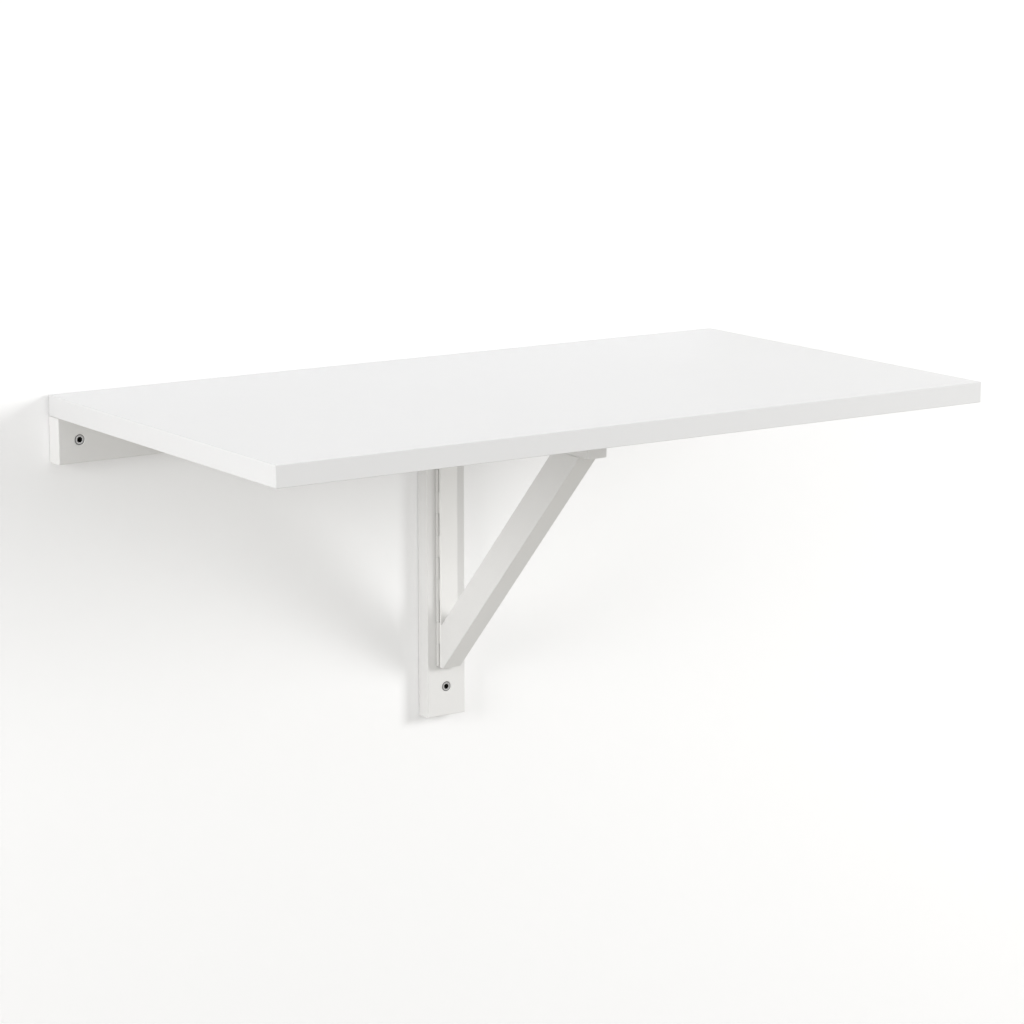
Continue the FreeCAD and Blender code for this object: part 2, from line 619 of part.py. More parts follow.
def make_stile():
    """The flat bar that arm, brace and hinge are fastened to."""
    stile = make_body("bracket_stile")
    outline = make_sketch(stile, "XZ", STILE_BACK)
    draw_rectangle(outline, BRACKET_LEFT, STILE_RIGHT, FOOT, ARM_TOP)
    make_pad(stile, outline, "sizes.stile_thickness")
    in_the_hinge = "sizes.bracket_screw_head - 2 * sizes.long_hinge_sheet"
    for heights, head in ((ARM_SCREWS, "sizes.bracket_screw_head"), (BRACE_SCREWS, in_the_hinge)):
        holes = make_sketch(stile, "XZ", STILE_BACK)
        for up in heights:
            draw_circle(holes, "sizes.post_offset", up, "sizes.bracket_screw_shank")
        make_screw_holes(stile, holes, "sizes.bracket_screw_shank", head, towards_normal=True)


def make_arm():
    """The lath under the leaf, with holes for its screws and dowels."""
    arm = make_body("bracket_arm")
    outline = make_sketch(arm, "XZ", STILE_FRONT)
    draw_rectangle(outline, BRACKET_LEFT, LATH_RIGHT, ARM_BOTTOM, ARM_TOP)
    make_pad(arm, outline, "sizes.arm_length")
    ease_edges(arm, "sizes.lath_ease", along=Y)
    drill_bracket_screws(arm, ARM_SCREWS, STILE_BACK)
    holes = make_sketch(arm, "XY", ARM_BOTTOM)
    draw_bracket_dowels(holes)
    make_pocket(arm, holes, "sizes.dowel_length / 2", towards_normal=True)


def drill_bracket_screws(body, heights, head_plane):
    """Pilot holes from the stile's front face, as deep as the screws reach."""
    pilots = make_sketch(body, "XZ", STILE_FRONT)
    for up in heights:
        draw_circle(pilots, "sizes.post_offset", up, "sizes.bracket_screw_shank")
    make_pocket(body, pilots, f"{head_plane} + sizes.bracket_screw_length - {STILE_FRONT}",
                towards_normal=True)


def draw_bracket_dowels(sketch):
    """The two dowels between brace and arm, one behind the other."""
    for out in places_in_row("sizes.bracket_dowel_reach", "sizes.bracket_dowel_spacing", "2"):
        draw_circle(sketch, f"({BRACKET_LEFT} + {LATH_RIGHT}) / 2", f"-{out}",
                    "sizes.dowel_diameter")


def make_brace():
    """The diagonal lath: cut upright at the stile, level at its toe and under the arm."""
    brace = make_body("bracket_brace")
    outline = make_sketch(brace, "YZ", BRACKET_LEFT)
    slope = "tan(sizes.brace_angle)"
    heel = f"({FOOT} - sizes.brace_toe * {slope} + sizes.brace_width / cos(sizes.brace_angle))"
    draw_polygon(outline, [
        (f"-{STILE_FRONT}", heel),
        (f"-{STILE_FRONT}", FOOT),
        (f"-({STILE_FRONT} + sizes.brace_toe)", FOOT),
        (f"-({STILE_FRONT} + sizes.brace_toe + ({ARM_BOTTOM} - {FOOT}) / {slope})", ARM_BOTTOM),
        (f"-({STILE_FRONT} + ({ARM_BOTTOM} - {heel}) / {slope})", ARM_BOTTOM),
    ])
    make_pad(brace, outline, "sizes.bracket_lath")
    angle = math.radians(value("sizes.brace_angle"))
    ease_edges(brace, "sizes.lath_ease", along=FreeCAD.Vector(0, -math.cos(angle), math.sin(angle)))
    drill_bracket_screws(brace, BRACE_SCREWS, HINGE_LEAF_INNER)
    holes = make_sketch(brace, "XY", ARM_BOTTOM)
    draw_bracket_dowels(holes)
    make_pocket(brace, holes, "sizes.dowel_length / 2")


def make_bracket_fastenings():
    """Screws from the stile's back into arm and brace, and the dowels between those two."""
    screw = plain_screw("sizes.bracket_screw_head", "sizes.bracket_screw_shank",
                        "sizes.bracket_screw_length")
    screw_row("bracket_arm_screws", screw, "2", "sizes.arm_screw_pitch", "Z",
              turn=TO_THE_ROOM, right="sizes.post_offset", out=STILE_BACK, up=ARM_SCREWS[1])
    screw_row("bracket_brace_screws", screw, "2", "sizes.bracket_screw_pitch", "Z",
              turn=TO_THE_ROOM, right="sizes.post_offset", out=HINGE_LEAF_INNER,
              up=BRACE_SCREWS[1])
    dowels = make_body("bracket_dowels")
    outline = make_sketch(dowels, "XY", f"{ARM_BOTTOM} - sizes.dowel_length / 2")
    draw_bracket_dowels(outline)
    make_pad(dowels, outline, "sizes.dowel_length")


def export_parts():
    """Stop on any failed object, then write each body's shape to its own file."""
    doc.recompute()
    for thing in doc.Objects:
        if "Invalid" in thing.State or "Error" in thing.State:
            raise RuntimeError(f"{thing.Label} could not be computed: {thing.State}")
    os.makedirs("parts", exist_ok=True)
    for body in doc.findObjects("PartDesign::Body"):
        if body.Shape.isNull() or not body.Shape.isValid():
            raise RuntimeError(f"{body.Label} has no valid shape")
        body.Shape.exportStep(f"parts/{body.Label}.step")
        box = body.Shape.BoundBox
        print(f"{body.Label:32s} solids {len(body.Shape.Solids):2d}"
              f"  X {box.XMin:8.2f} {box.XMax:8.2f}  Y {box.YMin:8.2f} {box.YMax:8.2f}"
              f"  Z {box.ZMin:8.2f} {box.ZMax:8.2f}")


sizes = make_sheet()

HINGE_LENGTH = {"leaf_hinge": "width", "long_hinge": "length"}
KNUCKLE = {"leaf_hinge": LEAF_KNUCKLE, "long_hinge": LONG_KNUCKLE}
PANEL_END = "(sizes.leaf_length / 2 - sizes.edge_band)"
PANEL_REAR = "(-sizes.leaf_wall_gap - sizes.edge_band)"
RAIL_SCREW_PITCH = f"(2 * {RAIL_SCREW} / (sizes.wall_screw_count - 1))"
RAIL_HINGE_SCREW_UP = f"({LEAF_UNDERSIDE} - sizes.rail_hinge_screw_drop)"
LEAF_HINGE_SCREW_OUT = f"({LEAF_AXIS_OUT} + sizes.leaf_hinge_screw_reach)"
LEAF_HINGE_SCREW_HEAD = "(sizes.leaf_hinge_screw_shank + 2 * sizes.leaf_hinge_sheet)"
LONG_HINGE_SCREW_HEAD = "(sizes.long_hinge_screw_shank + 2 * sizes.long_hinge_sheet)"
LONG_HINGE_SCREW_REACH = f"((sizes.long_hinge_reach + {LONG_KNUCKLE} / 2) / 2)"
LONG_HINGE_MIDDLE = f"(({LONG_HINGE_TOP} + {LONG_HINGE_END}) / 2)"
LONG_HINGE_SCREW_PITCH = (
    "((sizes.long_hinge_length - 2 * sizes.long_hinge_screw_inset)"
    " / (sizes.long_hinge_screw_count - 1))"
)
LONG_HINGE_SCREWS = places_in_row(f"{LONG_HINGE_END} + sizes.long_hinge_screw_inset",
                                  LONG_HINGE_SCREW_PITCH, "sizes.long_hinge_screw_count")
HINGE_LEAF_INNER = f"({STILE_BACK} - sizes.long_hinge_sheet)"
STILE_RIGHT = f"({BRACKET_LEFT} + sizes.stile_width)"
LATH_RIGHT = f"({BRACKET_LEFT} + sizes.bracket_lath)"
ARM_SCREWS = places_in_row(f"{ARM_TOP} - (sizes.arm_height + sizes.arm_screw_pitch) / 2",
                           "sizes.arm_screw_pitch", "2")
BRACE_SCREWS = places_in_row(f"{FOOT} + sizes.brace_screw_height",
                             "sizes.bracket_screw_pitch", "2")

make_rail()
make_post()
make_post_dowels()
make_wall_screws()
make_leaf_panel()
make_edge_bands()
make_leaf_hinge("left", -1)
make_leaf_hinge("right", 1)
make_long_hinge()
make_stile()
make_arm()
make_brace()
make_bracket_fastenings()
export_parts()
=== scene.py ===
"""Looks of a white wall mounted drop leaf table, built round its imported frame.

The wall is the plane Y = 0, the room lies towards -Y, and Z is up.  Lengths are in metres.
The wood, the board, the flat bar and the hinge sheets keep the frame's own solids and get
their finishes here.  The screws, dowels and hinge pins are new surfaces.
"""
import json
import math

import bpy
import numpy as np
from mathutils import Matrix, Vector


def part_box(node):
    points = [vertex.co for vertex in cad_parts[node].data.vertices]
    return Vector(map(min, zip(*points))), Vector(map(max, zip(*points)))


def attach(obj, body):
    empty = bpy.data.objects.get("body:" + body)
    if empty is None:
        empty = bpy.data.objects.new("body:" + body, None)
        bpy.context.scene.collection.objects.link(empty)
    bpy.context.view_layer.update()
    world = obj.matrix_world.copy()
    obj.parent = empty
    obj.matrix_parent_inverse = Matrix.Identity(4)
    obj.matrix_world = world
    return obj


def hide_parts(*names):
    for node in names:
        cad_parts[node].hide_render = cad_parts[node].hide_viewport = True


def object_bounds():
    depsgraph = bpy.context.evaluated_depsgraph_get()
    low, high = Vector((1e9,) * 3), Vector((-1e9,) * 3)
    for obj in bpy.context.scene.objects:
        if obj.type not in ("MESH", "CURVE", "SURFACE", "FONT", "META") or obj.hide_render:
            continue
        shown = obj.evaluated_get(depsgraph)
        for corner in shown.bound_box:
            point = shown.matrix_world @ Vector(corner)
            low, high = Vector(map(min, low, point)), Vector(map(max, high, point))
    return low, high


bl_info = {
    "name": "Wall mounted drop leaf table",
    "version": (1, 0, 0),
    "blender": (4, 5, 0),
    "location": "View3D > Sidebar > Table",
    "description": "Finishes, fastenings and stage of a wall mounted drop leaf table",
    "category": "Object",
}

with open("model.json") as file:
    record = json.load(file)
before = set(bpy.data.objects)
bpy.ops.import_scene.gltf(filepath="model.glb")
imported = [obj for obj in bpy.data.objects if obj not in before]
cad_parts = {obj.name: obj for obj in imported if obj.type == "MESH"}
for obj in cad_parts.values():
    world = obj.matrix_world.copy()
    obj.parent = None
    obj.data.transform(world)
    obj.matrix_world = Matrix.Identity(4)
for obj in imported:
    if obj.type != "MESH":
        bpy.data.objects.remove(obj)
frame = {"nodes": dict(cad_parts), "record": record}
CAD_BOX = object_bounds()

TURN = 2 * math.pi
IMAGE_PIXELS = 1024
SMOOTH_ANGLE = math.radians(35.0)
THREAD_TURN_ROWS = 8
ROD_END_ROWS = 7
# Cells of the grain's noise to the metre, along the fibres and across them.
GRAIN_ALONG = 25.0
GRAIN_ACROSS = 750.0

# Node: the axis that the grain runs along; the brace's lies along its own slope.
LATH_GRAIN = {
    "wall_rail": "X",
    "wall_post": "Z",
    "bracket_arm": "Y",
    "bracket_brace": "BRACE",
}
LEAF_BANDS = ("leaf_edge_front", "leaf_edge_left", "leaf_edge_right", "leaf_edge_rear")
ZINC_SHEETS = (
    "leaf_hinge_left_rail_angle",
    "leaf_hinge_left_leaf_plate",
    "leaf_hinge_right_rail_angle",
    "leaf_hinge_right_leaf_plate",
)
LONG_HINGE = ("bracket_hinge_post_leaf", "bracket_hinge_stile_leaf")
# Screw kinds: plain shank's diameter, thread's diameter, thread's length.
WALL_SCREW = (0.0038, 0.005, 0.03)
SHEET_SCREW = (0.0035, 0.0035, 0.012)
HINGE_SCREW = (0.003, 0.003, 0.011)
BRACKET_SCREW = (0.004, 0.004, 0.018)
# Node: screws in the row, number of the row's axis, the screws' direction, their kind.
SCREW_ROWS = {
    "rail_wall_screws": (4, 0, (0, 1, 0), WALL_SCREW),
    "post_wall_screw": (1, 0, (0, 1, 0), WALL_SCREW),
    "leaf_hinge_left_rail_screws": (2, 0, (0, 1, 0), SHEET_SCREW),
    "leaf_hinge_right_rail_screws": (2, 0, (0, 1, 0), SHEET_SCREW),
    "leaf_hinge_left_leaf_screws": (2, 0, (0, 0, 1), SHEET_SCREW),
    "leaf_hinge_right_leaf_screws": (2, 0, (0, 0, 1), SHEET_SCREW),
    "bracket_hinge_post_screws": (5, 2, (0, 1, 0), HINGE_SCREW),
    "bracket_arm_screws": (2, 2, (0, -1, 0), BRACKET_SCREW),
    "bracket_brace_screws": (2, 2, (0, -1, 0), BRACKET_SCREW),
}
# Node: rods in the row, number of the row's axis, the rods' direction.
RODS = {
    "rail_post_dowels": (2, 0, (0, 0, 1)),
    "bracket_dowels": (2, 1, (0, 0, 1)),
    "leaf_hinge_left_pin": (1, 2, (1, 0, 0)),
    "leaf_hinge_right_pin": (1, 2, (1, 0, 0)),
    "bracket_hinge_pin": (1, 0, (0, 0, 1)),
}
# Rod ends: the rounding's share of the radius, and its length over the rod's width.
DOMED_END = (0.94, 0.3)
DOWEL_END = (0.25, 0.15)
BODY_OF = {
    node: body
    for body, nodes in frame["record"]["behaviour"]["bodies"].items()
    for node in nodes
}


# ---------------------------------------------------------------- settings


class TableView(bpy.types.PropertyGroup):
    """Where the camera stands and how it looks at the table."""

    place: bpy.props.FloatVectorProperty(
        name="Camera place", description="Camera position in the table's frame",
        default=(-1.6269, -2.6253, 0.5202), size=3, subtype="TRANSLATION", unit="LENGTH")
    azimuth: bpy.props.FloatProperty(
        name="Azimuth", description="Turn from looking straight at the wall",
        default=math.radians(-33.77), subtype="ANGLE", unit="ROTATION")
    elevation: bpy.props.FloatProperty(
        name="Elevation", description="How far the camera looks down",
        default=math.radians(11.51), subtype="ANGLE", unit="ROTATION")
    focal_pixels: bpy.props.FloatProperty(
        name="Focal length in pixels", description="Focal length over the pixel size",
        default=3272.2)
    sensor: bpy.props.FloatProperty(
        name="Sensor", description="Sensor width in millimetres", default=36.0)


class TableLight(bpy.types.PropertyGroup):
    """The stage and its lamps."""

    room_light: bpy.props.FloatProperty(
        name="Room light", description="Strength of the even light from all sides", default=0.68)
    key_power: bpy.props.FloatProperty(
        name="Key power", description="Power of the large lamp at the right", default=63.0,
        subtype="POWER", unit="POWER")
    key_place: bpy.props.FloatVectorProperty(
        name="Key place", description="Centre of the large lamp", default=(2.6, -2.5, 0.89),
        size=3, subtype="TRANSLATION", unit="LENGTH")
    lamp_width: bpy.props.FloatProperty(
        name="Lamp width", description="Side of the two square lamps", default=1.2,
        unit="LENGTH")
    fill_power: bpy.props.FloatProperty(
        name="Fill power", description="Power of the lamp at the left", default=41.0,
        subtype="POWER", unit="POWER")
    fill_place: bpy.props.FloatVectorProperty(
        name="Fill place", description="Centre of the lamp at the left",
        default=(-3.12, -1.1, 0.64), size=3, subtype="TRANSLATION", unit="LENGTH")
    wall_colour: bpy.props.FloatVectorProperty(
        name="Wall colour", description="Share of the light that the wall throws back",
        default=(0.86, 0.86, 0.86), size=3, subtype="COLOR", min=0, max=1)
    wall_glow: bpy.props.FloatProperty(
        name="Wall glow", description="What the camera sees added to the lit wall", default=0.15)
    floor_colour: bpy.props.FloatVectorProperty(
        name="Floor colour", description="Share of the light that the floor throws back",
        default=(0.42, 0.41, 0.385), size=3, subtype="COLOR", min=0, max=1)
    floor_glow: bpy.props.FloatProperty(
        name="Floor glow", description="What the camera sees added to the lit floor",
        default=0.6)
    wall_gap: bpy.props.FloatProperty(
        name="Wall gap", description="Between the table's back and the wall surface",
        default=0.0008, unit="LENGTH")
    wall_inset: bpy.props.FloatProperty(
        name="Wall inset", description="How far the wall reaches behind the table",
        default=0.004, unit="LENGTH")
    table_height: bpy.props.FloatProperty(
        name="Table height", description="The leaf's top above the floor", default=0.9,
        unit="LENGTH")
    wall_size: bpy.props.FloatProperty(
        name="Wall size", description="Side of the square wall and floor", default=7.0,
        unit="LENGTH")


class TableFinish(bpy.types.PropertyGroup):
    """Colours and surface detail."""

    lath_colour: bpy.props.FloatVectorProperty(
        name="Lath lacquer", description="White lacquer on the laths",
        default=(0.852, 0.848, 0.837), size=3, subtype="COLOR", min=0, max=1)
    board_colour: bpy.props.FloatVectorProperty(
        name="Board lacquer", description="White lacquer on the leaf",
        default=(0.86, 0.86, 0.86), size=3, subtype="COLOR", min=0, max=1)
    # Painted shade: the edge bands are a darker white than the board, so that the leaf's edges
    # look shaded against its top.
    shaded_band_colour: bpy.props.FloatVectorProperty(
        name="Edge bands", description="White bands round the leaf",
        default=(0.77, 0.77, 0.77), size=3, subtype="COLOR", min=0, max=1)
    bar_colour: bpy.props.FloatVectorProperty(
        name="Bar paint", description="White paint on the flat bar",
        default=(0.95, 0.945, 0.93), size=3, subtype="COLOR", min=0, max=1)
    # Painted shade: the long hinge is a grey well below the bar's white and stands for the shade
    # in the gap beside the flat bar.
    shaded_hinge_colour: bpy.props.FloatVectorProperty(
        name="Hinge paint", description="White paint on the long hinge",
        default=(0.74, 0.735, 0.72), size=3, subtype="COLOR", min=0, max=1)
    steel_colour: bpy.props.FloatVectorProperty(
        name="Zinc steel", description="Zinc plated steel of the hinges",
        default=(0.7, 0.7, 0.71), size=3, subtype="COLOR", min=0, max=1)
    screw_colour: bpy.props.FloatVectorProperty(
        name="Screw steel", description="Zinc plated steel of the screws",
        default=(0.74, 0.74, 0.75), size=3, subtype="COLOR", min=0, max=1)
    # Painted shade: the near black painted into the screws' recesses and the ring round their
    # heads, where shade falls.
    painted_shade_colour: bpy.props.FloatVectorProperty(
        name="Recess dark", description="Dark residue in recesses and round the screw heads",
        default=(0.012, 0.012, 0.012), size=3, subtype="COLOR", min=0, max=1)
    beech_colour: bpy.props.FloatVectorProperty(
        name="Beech", description="Dowels", default=(0.55, 0.38, 0.22), size=3,
        subtype="COLOR", min=0, max=1)
    gloss_roughness: bpy.props.FloatProperty(
        name="Lacquer roughness", description="Mean roughness of the lacquer", default=0.42)
    grain_depth: bpy.props.FloatProperty(
        name="Grain depth", description="Depth of the grain that shows through the lacquer",
        default=0.00004, unit="LENGTH")


class TableScrews(bpy.types.PropertyGroup):
    """Shape of the countersunk cross-recess screws, the dowels and the pins."""

    arm_length: bpy.props.FloatProperty(
        name="Recess arm", description="Length of a recess arm over the head's diameter",
        default=0.23)
    arm_width: bpy.props.FloatProperty(
        name="Recess width", description="Half width of a recess arm over the head's diameter",
        default=0.145)
    recess_depth: bpy.props.FloatProperty(
        name="Recess depth", description="Depth of the recess over the head's diameter",
        default=0.3)
    thread_pitch: bpy.props.FloatProperty(
        name="Thread pitch", description="Advance of one turn over the thread's diameter",
        default=0.5)
    thread_depth: bpy.props.FloatProperty(
        name="Thread depth", description="Depth of the thread over its diameter",
        default=0.16)
    columns: bpy.props.IntProperty(
        name="Columns", description="Points round a screw or rod", default=72)
    flutes: bpy.props.IntProperty(
        name="Flutes", description="Grooves along a dowel", default=12)
    flute_depth: bpy.props.FloatProperty(
        name="Flute depth", description="Depth of those grooves over the dowel's radius",
        default=0.07)


class TableSettings(bpy.types.PropertyGroup):
    """All settings of the table's looks."""

    view: bpy.props.PointerProperty(type=TableView)
    light: bpy.props.PointerProperty(type=TableLight)
    finish: bpy.props.PointerProperty(type=TableFinish)
    screws: bpy.props.PointerProperty(type=TableScrews)


def settings():
    """The table's settings in the present scene."""
    return bpy.context.scene.drop_leaf_table


# ---------------------------------------------------------------- node helpers


class Nodes:
    """A material's or world's node tree, with short calls to add and join nodes."""

    def __init__(self, owner):
        owner.use_nodes = True
        self.tree = owner.node_tree
        self.tree.nodes.clear()

    def add(self, kind, inputs=None, **options):
        """A new node; inputs maps a socket's name or number to a value or another socket."""
        node = self.tree.nodes.new(f"ShaderNode{kind}")
        for option, choice in options.items():
            setattr(node, option, choice)
        for name, given in (inputs or {}).items():
            if isinstance(given, bpy.types.NodeSocket):
                self.tree.links.new(given, node.inputs[name])
            else:
                node.inputs[name].default_value = given
        return node

    def noise(self, vector, scale, detail=3.0, roughness=0.5):
        """Factor of a noise texture."""
        return self.add("TexNoise", {"Vector": vector, "Scale": scale, "Detail": detail,
                                     "Roughness": roughness}).outputs["Fac"]

    def stretch(self, factor, low, high):
        """A factor from 0 to 1 taken to the range from low to high."""
        return self.add("MapRange", {"Value": factor, "From Min": 0.0, "From Max": 1.0,
                                     "To Min": low, "To Max": high}).outputs["Result"]

    def blend(self, factor, first, second):
        """A colour between two colours or colour sockets.

        A colour mix has its factor at input 0 and its colours at inputs 6 and 7.
        """
        mix = self.add("Mix", data_type="RGBA")
        for socket, given in ((mix.inputs[0], factor), (mix.inputs[6], first),
                              (mix.inputs[7], second)):
            if isinstance(given, bpy.types.NodeSocket):
                self.tree.links.new(given, socket)
            elif isinstance(given, float):
                socket.default_value = given
            else:
                socket.default_value = (*given, 1.0)
        return mix.outputs[2]

    def object_coordinates(self, turn=(0.0, 0.0, 0.0), scale=(1.0, 1.0, 1.0)):
        """Object coordinates, turned and then stretched."""
        place = self.add("TexCoord").outputs["Object"]
        turned = self.add("Mapping", {"Vector": place, "Rotation": turn})
        return self.add("Mapping", {"Vector": turned.outputs[0], "Scale": scale}).outputs[0]

    def bump(self, height, distance, strength=1.0, normal=None):
        """A normal from a height."""
        inputs = {"Height": height, "Distance": distance, "Strength": strength}
        if normal is not None:
            inputs["Normal"] = normal
        return self.add("Bump", inputs).outputs[0]

    def surface(self, shader):
        """Join a shader to the output."""
        kind = "OutputWorld" if self.tree.id_data.name == "table_world" else "OutputMaterial"
        self.add(kind, {"Surface": shader.outputs[0]})


def shade(colour, factor):
    """A colour made darker or lighter by a factor."""
    return tuple(min(1.0, part * factor) for part in colour)


# ---------------------------------------------------------------- materials


def lacquered_wood(name, colour, along):
    """White lacquer on a smooth lath: faint grain lines along it and a soft, uneven gloss.

    along is the axis that the grain runs along, or BRACE for the brace's own slope.
    """
    look = settings().finish
    material = bpy.data.materials.new(name)
    nodes = Nodes(material)
    turn = (0.0, 0.0, 0.0)
    if along == "BRACE":
        turn = (brace_turn(), 0.0, 0.0)
        along = "Y"
    fine = tuple(GRAIN_ALONG if axis == along else GRAIN_ACROSS for axis in "XYZ")
    fibres = nodes.noise(nodes.object_coordinates(turn, fine), scale=1.0, detail=4.0,
                         roughness=0.6)
    broad = nodes.noise(nodes.object_coordinates(turn), scale=9.0, detail=2.0)
    specks = nodes.noise(nodes.object_coordinates(turn), scale=900.0, detail=2.0)
    tone = nodes.blend(broad, shade(colour, 0.985), shade(colour, 1.012))
    tint = nodes.blend(nodes.stretch(fibres, 0.0, 0.35), tone, shade(colour, 0.955))
    roughness = nodes.stretch(fibres, look.gloss_roughness - 0.08, look.gloss_roughness + 0.08)
    peel = nodes.bump(specks, distance=0.00003, strength=0.35)
    relief = nodes.bump(fibres, distance=look.grain_depth, strength=0.6, normal=peel)
    nodes.surface(nodes.add("BsdfPrincipled", {
        "Base Color": tint, "Roughness": roughness, "Normal": relief, "IOR": 1.5,
        "Coat Weight": 0.12, "Coat Roughness": 0.2}))
    return material


def lacquered_board(name, colour):
    """White lacquer on flat board: no grain, only a fine orange peel and slow unevenness."""
    look = settings().finish
    material = bpy.data.materials.new(name)
    nodes = Nodes(material)
    place = nodes.object_coordinates()
    broad = nodes.noise(place, scale=5.0, detail=2.0)
    peel = nodes.noise(place, scale=420.0, detail=2.0)
    tone = nodes.blend(broad, shade(colour, 0.99), shade(colour, 1.01))
    roughness = nodes.stretch(nodes.noise(place, scale=30.0),
                              look.gloss_roughness - 0.06, look.gloss_roughness + 0.04)
    nodes.surface(nodes.add("BsdfPrincipled", {
        "Base Color": tone, "Roughness": roughness,
        "Normal": nodes.bump(peel, distance=0.00004, strength=0.3),
        "IOR": 1.5, "Coat Weight": 0.15, "Coat Roughness": 0.16}))
    return material


def painted_steel(name, colour):
    """White paint on steel, smoother than the wood and with a finer orange peel."""
    material = bpy.data.materials.new(name)
    nodes = Nodes(material)
    place = nodes.object_coordinates()
    broad = nodes.noise(place, scale=14.0, detail=2.0)
    peel = nodes.noise(place, scale=700.0, detail=2.0)
    tone = nodes.blend(broad, shade(colour, 0.99), shade(colour, 1.01))
    roughness = nodes.stretch(nodes.noise(place, scale=60.0), 0.34, 0.44)
    nodes.surface(nodes.add("BsdfPrincipled", {
        "Base Color": tone, "Roughness": roughness,
        "Normal": nodes.bump(peel, distance=0.00003, strength=0.35),
        "IOR": 1.5, "Coat Weight": 0.2, "Coat Roughness": 0.15}))
    return material


def zinc_steel(name, colour):
    """Zinc plated sheet: metal with soft crystal patches and short rolling scratches."""
    material = bpy.data.materials.new(name)
    nodes = Nodes(material)
    place = nodes.object_coordinates()
    patches = nodes.add("TexVoronoi", {"Vector": place, "Scale": 260.0}).outputs["Color"]
    patch = nodes.add("SeparateColor", {"Color": patches}).outputs[0]
    scratches = nodes.noise(nodes.object_coordinates(scale=(3000.0, 3000.0, 160.0)), scale=1.0)
    tone = nodes.blend(patch, shade(colour, 0.86), shade(colour, 1.12))
    roughness = nodes.stretch(scratches, 0.3, 0.5)
    nodes.surface(nodes.add("BsdfPrincipled", {
        "Base Color": tone, "Metallic": 1.0, "Roughness": roughness,
        "Normal": nodes.bump(scratches, distance=0.00001, strength=0.25)}))
    return material


def screw_steel(name):
    """Zinc plated screw: bright metal where the screw's own attribute is 1, and painted shade, a
    dull near black, where it is 0: in the recess and the ring round the head, where shade falls.
    """
    look = settings().finish
    material = bpy.data.materials.new(name)
    nodes = Nodes(material)
    unshaded = nodes.add("Attribute", attribute_name="unshaded").outputs["Fac"]
    turning = nodes.noise(nodes.object_coordinates(scale=(900.0, 2600.0, 900.0)), scale=1.0)
    metal = nodes.blend(turning, shade(look.screw_colour, 0.8), shade(look.screw_colour, 1.15))
    tone = nodes.blend(unshaded, look.painted_shade_colour, metal)
    nodes.surface(nodes.add("BsdfPrincipled", {
        "Base Color": tone, "Metallic": unshaded, "Specular IOR Level": 0.05,
        "Roughness": nodes.stretch(unshaded, 0.95, 0.4),
        "Normal": nodes.bump(turning, distance=0.00002, strength=0.4)}))
    return material


def beech_wood(name, colour):
    """Plain beech with short dark flecks along the dowel."""
    material = bpy.data.materials.new(name)
    nodes = Nodes(material)
    fibres = nodes.noise(nodes.object_coordinates(scale=(900.0, 900.0, 60.0)), scale=1.0,
                         detail=5.0, roughness=0.65)
    spots = nodes.noise(nodes.object_coordinates(scale=(1600.0, 1600.0, 300.0)), scale=1.0,
                        detail=1.0)
    flecks = nodes.stretch(spots, -1.2, 1.0)
    tone = nodes.blend(fibres, shade(colour, 0.8), shade(colour, 1.2))
    flecked = nodes.blend(flecks, tone, shade(colour, 0.55))
    nodes.surface(nodes.add("BsdfPrincipled", {
        "Base Color": flecked, "Roughness": nodes.stretch(fibres, 0.55, 0.75),
        "Normal": nodes.bump(fibres, distance=0.00005, strength=0.5)}))
    return material


def brace_turn():
    """The turn about X that lays the brace's length along Y.

    The brace rises towards the room, and the slope between two corners of its box is close
    to its own.
    """
    low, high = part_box("bracket_brace")
    return math.atan2(high.z - low.z, high.y - low.y)


def cover(node, material):
    """Give a frame node its finish."""
    mesh = frame["nodes"][node].data
    mesh.materials.clear()
    mesh.materials.append(material)


# ---------------------------------------------------------------- surfaces


def grid_quads(rows, columns):
    """Quads between the points of a grid whose columns close round, row by row."""
    row = np.arange(rows - 1)[:, None] * columns
    here = np.arange(columns)[None, :]
    following = (here + 1) % columns
    quads = np.stack([row + columns + here, row + columns + following, row + following,
                      row + here], axis=-1)
    return quads.reshape(-1, 4)


def pole_fan(pole, ring, columns):
    """Triangles between a single point and a closed ring that starts at a given number."""
    here = np.arange(columns)
    following = (here + 1) % columns
    return np.stack([ring + here, ring + following, np.full(columns, pole)], axis=-1)


def turned_shape(radius, depth):
    """A closed surface from radius and depth given on a grid of rows by columns.

    Column k stands at the angle k / columns of a turn.  Row 0 lies next to the middle of the
    head and the last row next to the tip, and one point closes each end.
    """
    rows, columns = radius.shape
    angle = np.arange(columns) / columns * TURN
    across = radius * np.cos(angle)
    along = radius * np.sin(angle)
    ring_points = np.stack([across, along, depth], axis=-1).reshape(-1, 3)
    ends = np.array([[0, 0, depth[0].mean()], [0, 0, depth[-1].mean()]])
    points = np.concatenate([ring_points, ends])
    head, tip = rows * columns, rows * columns + 1
    quads = grid_quads(rows, columns)
    fans = np.concatenate([
        pole_fan(head, 0, columns),
        pole_fan(tip, (rows - 1) * columns, columns)[:, ::-1],
    ])
    return points, quads, fans


